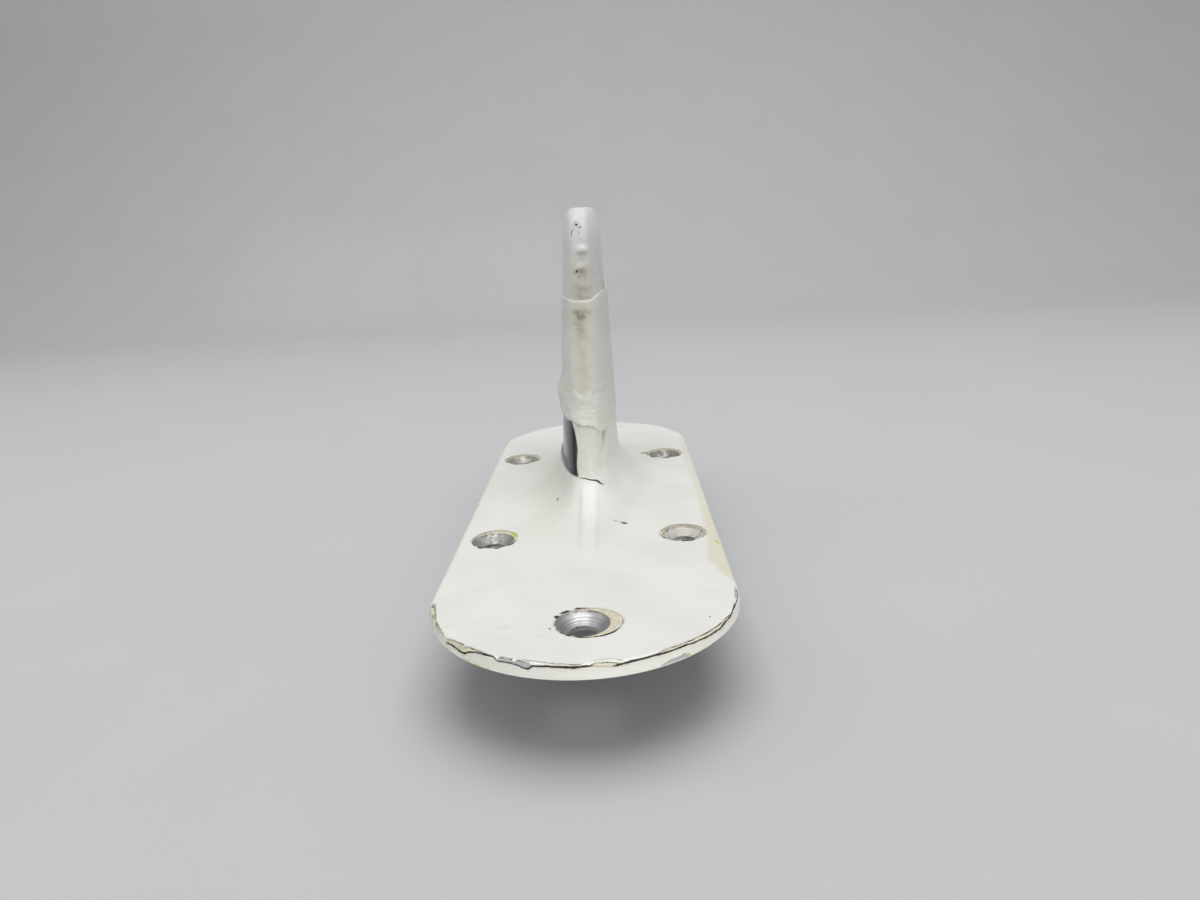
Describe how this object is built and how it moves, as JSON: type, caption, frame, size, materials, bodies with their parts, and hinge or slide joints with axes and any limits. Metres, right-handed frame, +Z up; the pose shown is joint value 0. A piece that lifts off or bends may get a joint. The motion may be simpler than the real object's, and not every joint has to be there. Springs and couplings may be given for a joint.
{
  "type": "aircraft blade antenna",
  "caption": "Swept white blade antenna on a long round-ended base plate with countersunk mounting holes, fed by a flanged coaxial jack under the plate.",
  "frame": {"origin": "middle of the base plate's mounting face", "axes": "+Z up the blade, leading edge towards -Y, +X to the right seen from the front"},
  "size_m": [0.0572, 0.162, 0.0897],
  "materials": {
    "white_enamel_on_metal": "aged white enamel over primer, chipped along the edge, bare metal in the countersinks",
    "white_enamel_on_composite": "aged white enamel over a glossy black moulding",
    "painted_boot": "painted over, stained and torn at the lower left",
    "foam": "rigid closed cell foam",
    "brass_sheet": "dull rolled sheet",
    "moulded_block": "moulded resin",
    "screw_steel": "passivated steel",
    "nickel_plate": "dull nickel plate",
    "ptfe": "turned PTFE",
    "gold_plate": "gold plate",
    "gasket_rubber": "moulded rubber"
  },
  "bodies": {
    "root": {"base_casting": "white_enamel_on_metal", "blade_shell": "white_enamel_on_composite", "leading_edge_boot": "painted_boot", "foam_core": "foam", "radiator": "brass_sheet", "root_block": "moulded_block", "ground_strap": "brass_sheet", "strap_screw": "screw_steel", "connector_body": "nickel_plate", "connector_insulator": "ptfe", "connector_contact": "gold_plate", "connector_gasket": "gasket_rubber", "connector_screws": "screw_steel", "connector_washers": "screw_steel", "base_seal": "gasket_rubber"}
  },
  "joints": []
}
